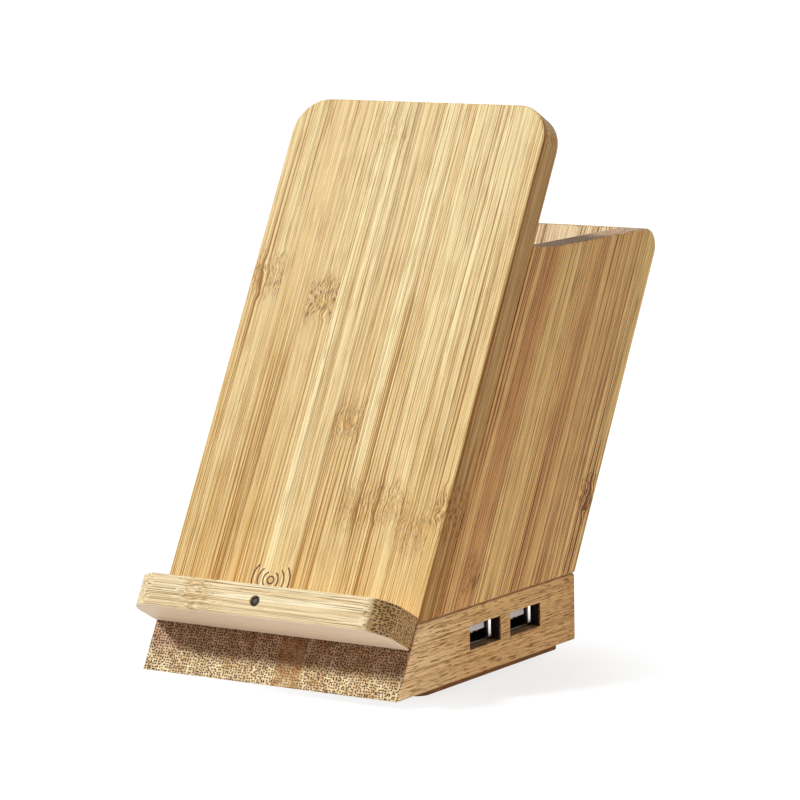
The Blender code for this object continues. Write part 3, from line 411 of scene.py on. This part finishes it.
left_strips = [(0.0, 0.30, 88, 0.5), (9.5, 0.60, 150, 0.0), (18.0, 0.20, 58, 0.6),
               (27.5, 0.45, 150, 0.0), (36.0, 0.25, 102, 0.0), (45.5, 0.65, 66, 0.5),
               (54.0, 0.35, 120, 0.0), (62.5, 0.25, 40, 0.4)]
wear("side_wall_left", bamboo("lacquered_left_lumber", True, "YXZ", left_strips, 90.0,
                              **wall_colours))

rear_strips = [(-40.0, 0.40, 60, 0.5), (-31.5, 0.20, 150, 0.0), (-22.5, 0.60, 92, 0.6),
               (-13.0, 0.35, 150, 0.0), (-4.0, 0.25, 74, 0.4), (5.5, 0.50, 110, 0.0),
               (14.0, 0.30, 52, 0.7), (23.5, 0.40, 120, 0.0), (32.0, 0.25, 96, 0.3)]
rear_finish = bamboo("lacquered_rear_lumber", True, "XYZ", rear_strips, 40.0,
                     **{**wall_colours, "pale": shade(250, 228, 180),
                        "dark": shade(196, 150, 92), "line": shade(150, 106, 58)})
wear("rear_wall", rear_finish)
wear("coil_cover_plate", rear_finish)


# Glue. A thin brown film of wood glue, squeezed flat between the base block and the
# boards that stand on it. It ends just inside their eased edges, and leaves the bore for
# the leads free.

# left, right, front and back of each film, in mm
GLUE_FILMS = [(32.4, 39.62, -24.7, 43.2), (-39.62, -32.4, -24.7, 43.2),
              (-31.3, 31.3, 35.0, 43.2), (-39.62, -10.4, -33.1, -24.9),
              (-5.6, 39.62, -33.1, -24.9)]
GLUE_MIDDLE, GLUE_THICK = 20.15, 0.24                   # mm

bpy.ops.object.select_all(action="DESELECT")
for number, (left, right, front, back) in enumerate(GLUE_FILMS):
    bpy.ops.mesh.primitive_cube_add(size=0.001, location=(
        (left + right) / 2000, (front + back) / 2000, GLUE_MIDDLE / 1000))
    if number == 0:
        glue = bpy.context.active_object
        bpy.ops.object.transform_apply(location=True, rotation=True, scale=True)
        bpy.ops.object.mode_set(mode="EDIT")
    bpy.ops.transform.resize(value=(right - left, back - front, GLUE_THICK))
bpy.ops.object.mode_set(mode="OBJECT")
glue.name = "base_glue_film"
glue_finish, start, shader = new_finish("dried_wood_glue", 0.5, 0.0, 0.3)
spot = start.node("TexCoord", output="Object")
cloud = spot.scaled(300.0, 300.0, 300.0).noise(2.0)
feed(shader, cloud.step(0.3, 0.7).between(shade(142, 98, 58), shade(170, 124, 78)),
     "Base Color")
feed(shader, 0.45 + cloud * 0.1, "Roughness")
glue.data.materials.append(glue_finish)
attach(glue, "root")


# Anti-slip pad. A sheet of brown rubber foam, glued under the base, so that it shows
# as a thin dark band below the base block.

pad_finish, start, shader = new_finish("rubber_foam", 0.85, 0.0, 0.3)
spot = start.node("TexCoord", output="Object")
pores = spot.scaled(2400.0, 2400.0, 2400.0).cells()
mottle = spot.scaled(180.0, 180.0, 180.0).noise(3.0)
rubber = mottle.step(0.3, 0.7).between(shade(124, 86, 52), shade(146, 102, 62))
feed(shader, rubber.stained((0.5, 0.5, 0.5), pores.step(0.35, 0.1)), "Base Color")
feed(shader, 0.8 + mottle * 0.15, "Roughness")
raise_grain(shader, pores.step(0.1, 0.5), 0.08)
wear("anti_slip_pad", pad_finish)


# Bottom cover. A sheet of black moulded plastic with a fine spark-eroded grain, held
# up by four small screws.

def moulded(name, dark, light, grain_mm, roughness, depth_mm, specular=0.5):
    """A moulded or sintered material: fine grain and a faint cloudiness."""
    material, start, shader = new_finish(name, roughness, 0.0, specular)
    spot = start.node("TexCoord", output="Object")
    speckle = spot.scaled(*(1000 / grain_mm,) * 3).noise(2.0, 0.6)
    cloud = spot.scaled(160.0, 160.0, 160.0).noise(2.0)
    feed(shader, (cloud * 0.6 + speckle * 0.5).step(0.3, 0.8).between(dark, light),
         "Base Color")
    feed(shader, roughness - 0.06 + speckle * 0.14, "Roughness")
    raise_grain(shader, speckle, depth_mm)
    return material


wear("bottom_cover", moulded("grained_black_cover", shade(38, 38, 39), shade(50, 50, 51),
                             0.25, 0.6, 0.03))


# Screws. Four small zinc-plated steel screws hold the cover, and four more hold the
# circuit board. Their metal has faint streaks from the tools.

def plated(name, colour, roughness, streak_mm, streak_axis, extra=None):
    """Bright metal, drawn or turned, with streaks along one axis."""
    material, start, shader = new_finish(name, roughness, 1.0)
    spot = start.node("TexCoord", output="Object")
    factors = [1000 / streak_mm] * 3
    factors["XYZ".index(streak_axis)] /= 30
    streak = spot.scaled(*factors).noise(3.0, 0.6)
    haze = spot.scaled(300.0, 300.0, 300.0).noise(2.0)
    bright = tuple(min(1.0, c * 1.08) for c in colour)
    dull = tuple(c * 0.86 for c in colour)
    mixed = (streak * 0.6 + haze * 0.4).step(0.3, 0.7).between(dull, bright)
    if extra:
        mixed = extra(mixed, spot)
    feed(shader, mixed, "Base Color")
    feed(shader, roughness - 0.08 + haze * 0.1 + streak * 0.12, "Roughness")
    raise_grain(shader, streak, 0.006)
    return material


screw_finish = plated("zinc_plate", (0.60, 0.60, 0.62), 0.36, 0.12, "X")
for number in range(1, 5):
    wear(f"cover_screw_{number}", screw_finish)
    wear(f"board_screw_{number}", screw_finish)


# Circuit board. Green solder mask over copper tracks, with the charging chips, an
# inductor, three film capacitors and one can capacitor soldered on top.

board_finish, start, shader = new_finish("green_solder_mask", 0.42, 0.0)
spot = start.node("TexCoord", output="Object")
brick = {"Scale": 1.0, "Mortar Size": 0.12, "Mortar Smooth": 0.1, "Bias": 0.0,
         "Brick Width": 2.3, "Row Height": 0.9}
tracks = start.node("TexBrick", {"offset": 0.37, "squash": 1.7, "squash_frequency": 3},
                    {**brick, "Vector": spot.scaled(620.0, 620.0, 620.0)}, 1)
mask_cloud = spot.scaled(240.0, 240.0, 240.0).noise(2.0)
mask_green = mask_cloud.between(shade(20, 78, 44), shade(26, 94, 54))
feed(shader, mask_green.toward(shade(60, 132, 74), tracks * 0.8), "Base Color")
feed(shader, 0.38 + mask_cloud * 0.1, "Roughness")
raise_grain(shader, tracks, 0.03)
wear("main_board", board_finish)

chip_finish = moulded("epoxy_black", shade(30, 30, 32), shade(44, 44, 46), 0.18, 0.5, 0.02)
wear("transmitter_chip", chip_finish)
wear("charge_chip", chip_finish)
ferrite_finish = moulded("sintered_ferrite", shade(62, 62, 66), shade(84, 84, 88), 0.35,
                         0.7, 0.04)
wear("power_inductor", ferrite_finish)
wear("ferrite_sheet", ferrite_finish)
film_finish = moulded("dipped_film_capacitor", shade(150, 118, 78), shade(176, 144, 100),
                      0.6, 0.35, 0.02)
for number in range(1, 4):
    wear(f"resonance_capacitor_{number}", film_finish)
wear("bulk_capacitor", plated("drawn_can", (0.78, 0.78, 0.80), 0.3, 0.3, "Z"))


# Power sockets. Two type A receptacles lie on the circuit board behind the windows in
# the right side: folded nickel-plated shells, white tongues and gilt contacts. A small
# inlet of the same make sits in the rear.

def painted_shade_inside(colour, spot):
    """Painted shade: the shells' rims and insides darkened, as they lie in shadow in the
    windows behind their bright mouths.
    """
    sideways = spot.node("SeparateXYZ", {}, {"Vector": spot}, 0)
    back = spot.node("SeparateXYZ", {}, {"Vector": spot}, 1)
    deep_shade = sideways.step(0.0363, 0.0356) * back.step(0.0395, 0.038)
    rim = sideways.step(0.0371, 0.0366) * back.step(0.0395, 0.038)
    return colour.stained((0.3, 0.3, 0.32), rim).stained((0.2, 0.2, 0.22), deep_shade)


shell_finish = plated("nickel_plate", (0.80, 0.79, 0.78), 0.28, 0.2, "X", painted_shade_inside)
tongue_finish = moulded("white_nylon", shade(226, 224, 234), shade(238, 236, 244), 0.3,
                        0.42, 0.02)
contact_finish = plated("gilt", (0.86, 0.64, 0.28), 0.28, 0.15, "X")
for which in ("front", "rear"):
    wear(f"usb_shell_{which}", shell_finish)
    wear(f"usb_tongue_{which}", tongue_finish)
    for number in range(1, 5):
        wear(f"usb_contact_{which}_{number}", contact_finish)

# the shells' sides end in lips of the same sheet, bent outwards to guide a plug in; in mm
LIP_START, LIP_TALL, LIP_SHEET = 36.73, 4.7, 0.28
LIP_LAND, LIP_FLARE, LIP_TAPER = 0.15, 0.38, 0.88       # straight part, bent part, its end
LIP_ROUND = 0.05
SOCKET_UP, SHELL_HALF = 12.1, 6.4
SOCKET_MIDDLES = (("front", -1.7), ("rear", 18.0))


def take(choose):
    """Select the vertices that a rule picks, in edit mode."""
    piece = bpy.context.edit_object
    bpy.ops.object.mode_set(mode="OBJECT")
    for vertex in piece.data.vertices:
        vertex.select = choose(vertex.co)
    bpy.ops.object.mode_set(mode="EDIT")


bpy.ops.object.select_all(action="DESELECT")
bpy.ops.mesh.primitive_grid_add(x_subdivisions=1, y_subdivisions=2, size=LIP_TALL / 1000,
                                rotation=(math.pi / 2, 0, 0))
bpy.ops.object.transform_apply(location=True, rotation=True, scale=True)
bpy.ops.object.mode_set(mode="EDIT")
bpy.ops.mesh.select_mode(type="VERT")
bpy.ops.transform.resize(value=(LIP_LAND / LIP_TALL, 1, 1))
take(lambda place: place.x > 0)
bpy.ops.mesh.extrude_region_move(TRANSFORM_OT_translate={
    "value": (LIP_FLARE / 1000, LIP_FLARE / 1000, 0)})
take(lambda place: place.x > LIP_LAND / 1000)
bpy.ops.transform.resize(value=(1, 1, LIP_TAPER))
bpy.ops.object.mode_set(mode="OBJECT")
lip = bpy.context.active_object
lip_sheet = lip.modifiers.new("sheet", "SOLIDIFY")
lip_sheet.thickness, lip_sheet.offset = LIP_SHEET / 1000, 0
lip_edge = lip.modifiers.new("edge", "BEVEL")
lip_edge.width, lip_edge.segments = LIP_ROUND / 1000, 2
for name in ("sheet", "edge"):
    bpy.ops.object.modifier_apply(modifier=name)
bpy.ops.object.shade_smooth_by_angle(angle=math.radians(40))

for which, middle in SOCKET_MIDDLES:
    for side, turned in (("far", 0.0), ("near", math.pi)):
        piece = lip.copy()
        piece.data = lip.data.copy()
        piece.name = f"usb_lip_{which}_{side}"
        bpy.context.scene.collection.objects.link(piece)
        out = Matrix.Translation((LIP_START / 1000 + LIP_LAND / 2000, SHELL_HALF / 1000, 0))
        piece.data.transform(Matrix.Translation((0, middle / 1000, SOCKET_UP / 1000))
                             @ Matrix.Rotation(turned, 4, "X") @ out)
        piece.data.materials.append(shell_finish)
        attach(piece, "root")
bpy.data.objects.remove(lip)

wear("inlet_shell", shell_finish)
wear("inlet_tongue", tongue_finish)


# Status light. A small smoky resin light set in a bore in the ledge's front, on two
# sleeved wires that run down to the circuit board.

led_finish, start, shader = new_finish("smoky_resin_lens", 0.6, 0.0, 0.2)
spot = start.node("TexCoord", output="Object")
cloud = spot.scaled(900.0, 900.0, 900.0).noise(2.0)
feed(shader, cloud.step(0.3, 0.7).between(shade(78, 74, 76), shade(104, 98, 98)),
     "Base Color")
feed(shader, 0.55 + cloud * 0.1, "Roughness")
wear("status_led", led_finish)
sleeve_finish = moulded("wire_sleeve_black", shade(36, 36, 37), shade(48, 48, 49), 0.3,
                        0.55, 0.02)


# Charging coil. Six enamelled copper strands, laid up as one rope, are wound into about
# ten flat turns in a pocket behind the phone rest's face. Both ends go down to the
# circuit board. The light's two wires, in black sleeves, take a like way from the board.

# all sizes in mm
COIL_UP, COIL_OUTER, COIL_PITCH, COIL_TURNS = 90.0, 21.95, 1.17, 10
COIL_DEEP, CROSSING_DEEP = 3.15, 4.33                   # behind the rest's face
COIL_STEPS = 960
START_ANGLE, END_ANGLE = math.radians(-102), math.radians(-180)
STRANDS, ROPE_RADIUS, ROPE_LAY = 6, 0.35, 8.0           # the lay is one twist's length
OUTER_LEAD, INNER_LEAD = -7.1, -8.9                     # places of the two ends
OUTER_BEND, INNER_BEND = 63.3, 67.7                     # up the slope, next to the turns
# the leads' way over the circuit board and up: back from the base's foot, and up
LEAD_WAY = [(28.5, 7.6), (25.7, 7.75), (22.6, 9.2), (19.2, 11.1), (16.1, 12.8),
            (13.9, 14.0), (13.0, 14.87)]


def in_slope(x, behind, up):
    """A place in mm behind the rest's face and up the slope, as a place in the scene."""
    return Vector((x, -FOOT_BACK + behind * math.cos(LEAN) + up * math.sin(LEAN),
                   FOOT_UP - behind * math.sin(LEAN) + up * math.cos(LEAN)))


def eased(way, spacing=1.0):
    """The way's places again, about evenly spaced, with its corners eased."""
    places = [way[0]]
    for start, stop in zip(way, way[1:]):
        count = max(1, round((stop - start).length / spacing))
        places += [start.lerp(stop, step / count) for step in range(1, count + 1)]
    places[1:-1] = [(before + place * 4 + after) / 6 for before, place, after
                    in zip(places, places[1:], places[2:])]
    return places


def drawn(name, ways, radius, finish, replaced):
    """Round wires along one or more ways, in mm, as one piece."""
    wire = bpy.data.curves.new(name, "CURVE")
    wire.dimensions, wire.use_fill_caps = "3D", True
    wire.bevel_depth, wire.bevel_resolution = radius / 1000, 1
    for way in ways:
        spline = wire.splines.new("POLY")
        spline.points.add(len(way) - 1)
        for point, place in zip(spline.points, way):
            point.co = (*(place / 1000), 1)
        spline.use_smooth = True
    wire.materials.append(finish)
    piece = bpy.data.objects.new(name, wire)
    bpy.context.scene.collection.objects.link(piece)
    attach(piece, "root")
    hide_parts(replaced)


def lead(x, way):
    return [Vector((x, back - FOOT_BACK, up + FOOT_UP)) for back, up in way]


swing = COIL_OUTER * math.cos(START_ANGLE) - OUTER_LEAD
first_up = COIL_UP + COIL_OUTER * math.sin(START_ANGLE)
way = lead(OUTER_LEAD, LEAD_WAY) + [in_slope(OUTER_LEAD, CROSSING_DEEP, OUTER_BEND)]
for share in (0.0, 0.3, 0.65):
    turn = share * math.pi / 2
    way.append(in_slope(OUTER_LEAD + swing * (1 - math.cos(turn)), COIL_DEEP,
                        first_up - swing * (1 - math.sin(turn))))
sweep = COIL_TURNS * 2 * math.pi + END_ANGLE - START_ANGLE
for step in range(COIL_STEPS + 1):
    turn = sweep * step / COIL_STEPS
    radius = COIL_OUTER - COIL_PITCH * turn / (2 * math.pi)
    angle = START_ANGLE + turn
    way.append(in_slope(radius * math.cos(angle), COIL_DEEP,
                        COIL_UP + radius * math.sin(angle)))
aside = INNER_LEAD + radius
for down, across, back in ((0.55, 0.35, 0.25), (1.1, 0.75, 0.7), (1.7, 1.0, 1.0)):
    way.append(in_slope(aside * across - radius,
                        COIL_DEEP + (CROSSING_DEEP - COIL_DEEP) * back,
                        COIL_UP - aside * down))
way.append(in_slope(INNER_LEAD, CROSSING_DEEP, INNER_BEND))
way += reversed(lead(INNER_LEAD, LEAD_WAY))

rope = eased(way)
side, travelled = Vector((1.0, 0.0, 0.0)), 0.0
strands = [[] for _ in range(STRANDS)]
for before, place, after in zip(rope[:1] + rope, rope, rope[1:] + rope[-1:]):
    ahead = (after - before).normalized()
    side = (side - ahead * side.dot(ahead)).normalized()
    travelled += (place - before).length
    for number, strand in enumerate(strands):
        angle = 2 * math.pi * (travelled / ROPE_LAY + number / STRANDS)
        strand.append(place + (side * math.cos(angle) + ahead.cross(side) * math.sin(angle))
                      * ROPE_RADIUS * 2 / 3)
drawn("charging_winding", strands, ROPE_RADIUS / 3,
      plated("enamelled_strands", (0.80, 0.36, 0.16), 0.34, 0.25, "Z"),
      "charging_coil")

LIGHT_UP = 18.08                                        # up the slope, middle of the ledge
LIGHT_BEND, LIGHT_BACK = 3.4, -8.4                      # behind the rest's face
SLEEVE_RADIUS, SLEEVE_FOOT, SLEEVE_SPREAD = 0.4, 7.65, 0.65
(way_back, way_up), (way_end, way_top) = LEAD_WAY[0], LEAD_WAY[-1]
for number, x in ((1, -SLEEVE_SPREAD), (2, SLEEVE_SPREAD)):
    # the leads' way, drawn in to end at the light's bore
    foot = in_slope(x, LIGHT_BEND, LIGHT_UP)
    deeper = (foot.y + FOOT_BACK - way_back) / (way_back - way_end)
    higher = (foot.z - FOOT_UP - SLEEVE_FOOT) / (way_top - way_up)
    rise = [(way_back + deeper * (way_back - back), SLEEVE_FOOT + higher * (up - way_up))
            for back, up in LEAD_WAY]
    drawn(f"light_wire_{number}",
          [eased(lead(x, rise) + [in_slope(x, LIGHT_BACK, LIGHT_UP)])], SLEEVE_RADIUS,
          sleeve_finish, f"led_lead_{number}")


# The table and the studio. A white table, one large lamp from the left front at 45
# degrees, a weak warm one from the right, and a pale room that fills the shadows.

TABLE_RADIUS = 9.0                                      # m
CLEAR_WHITE, NEAR_WHITE = 1.07, 0.71                    # glow, and its share at the object


def seen_directly(start):
    """1 where the camera, a reflection or a clear piece sees it, 0 where it only lights."""
    rays = [start.node("LightPath", output=name)
            for name in ("Is Camera Ray", "Is Glossy Ray", "Is Transmission Ray")]
    return (rays[0] + rays[1] + rays[2]).clip()


bpy.ops.object.select_all(action="DESELECT")
bpy.ops.mesh.primitive_circle_add(vertices=96, radius=TABLE_RADIUS, fill_type="NGON")
table = bpy.context.active_object
table.name = "white_table"
table_finish, start, shader = new_finish("white_table_top", 0.9, 0.0, 0.0)
spot = start.node("TexCoord", output="Object")
reach = spot.node("VectorMath", {"operation": "DISTANCE"}, {0: spot, 1: (0.03, 0.0, 0.0)}, 1)
feed(shader, reach.step(0.09, 0.14).between((0.95, 0.95, 0.95), (0.2, 0.2, 0.2)),
     "Base Color")
glow = start.node("Emission", {}, {"Color": (1, 1, 1, 1), "Strength": CLEAR_WHITE})
lit = Wire(start.tree, shader.outputs[0])
share = seen_directly(start) * (NEAR_WHITE + reach.step(0.015, 0.075) * (1 - NEAR_WHITE))
mixed = start.node("MixShader", {}, {0: share, 1: lit, 2: glow})
start.tree.links.new(mixed.socket,
                     table_finish.node_tree.nodes["Material Output"].inputs["Surface"])
table.data.materials.append(table_finish)

for name, toward, strength, width, colour in (
        ("window_lamp", (-0.54, -0.456, 0.707), 3.05, 9.0, (1.0, 0.99, 0.97)),
        ("side_lamp", (0.96, 0.16, 0.22), 1.65, 60.0, (1.0, 0.88, 0.74))):
    lamp_data = bpy.data.lights.new(name, "SUN")
    lamp_data.energy = strength
    lamp_data.angle = math.radians(width)
    lamp_data.color = colour
    lamp = bpy.data.objects.new(name, lamp_data)
    lamp.rotation_euler = Vector(toward).to_track_quat("Z", "Y").to_euler()
    bpy.context.scene.collection.objects.link(lamp)

world = bpy.data.worlds.new("pale_room")
world.use_nodes = True
bpy.context.scene.world = world
ROOM_LIGHT = 0.06                                       # beside 1 where it is seen
strength = ROOM_LIGHT + seen_directly(Wire(world.node_tree)) * (1 - ROOM_LIGHT)
background = world.node_tree.nodes["Background"]
background.inputs["Color"].default_value = (1, 1, 1, 1)
world.node_tree.links.new(strength.socket, background.inputs["Strength"])


# The camera, where the photographer's stood: a long lens, a little above the table,
# looking back and to the left.

SENSOR_WIDE = 36.0                                      # mm
FOCAL_PIXELS, PICTURE_WIDE = 3989.55, 800               # both in pixels
CAMERA_PLACE = (0.58278, -0.85730, 0.22730)             # m
YAW, PITCH, ROLL = 0.5861, -0.1506, -0.0174             # radians

camera_data = bpy.data.cameras.new("camera")
camera_data.sensor_width = SENSOR_WIDE
camera_data.lens = FOCAL_PIXELS * SENSOR_WIDE / PICTURE_WIDE
camera_data.clip_end = 50.0
camera = bpy.data.objects.new("camera", camera_data)
ahead = Vector((-math.sin(YAW) * math.cos(PITCH), math.cos(YAW) * math.cos(PITCH),
                math.sin(PITCH)))
right = Vector((math.cos(YAW), math.sin(YAW), 0))
above = right.cross(ahead)
across_view = math.cos(ROLL) * right + math.sin(ROLL) * above
up_view = -math.sin(ROLL) * right + math.cos(ROLL) * above
turn = Matrix((across_view, up_view, -ahead)).transposed()
camera.matrix_world = Matrix.Translation(CAMERA_PLACE) @ turn.to_4x4()
bpy.context.scene.collection.objects.link(camera)
bpy.context.scene.camera = camera
bpy.context.scene.view_settings.view_transform = "Standard"
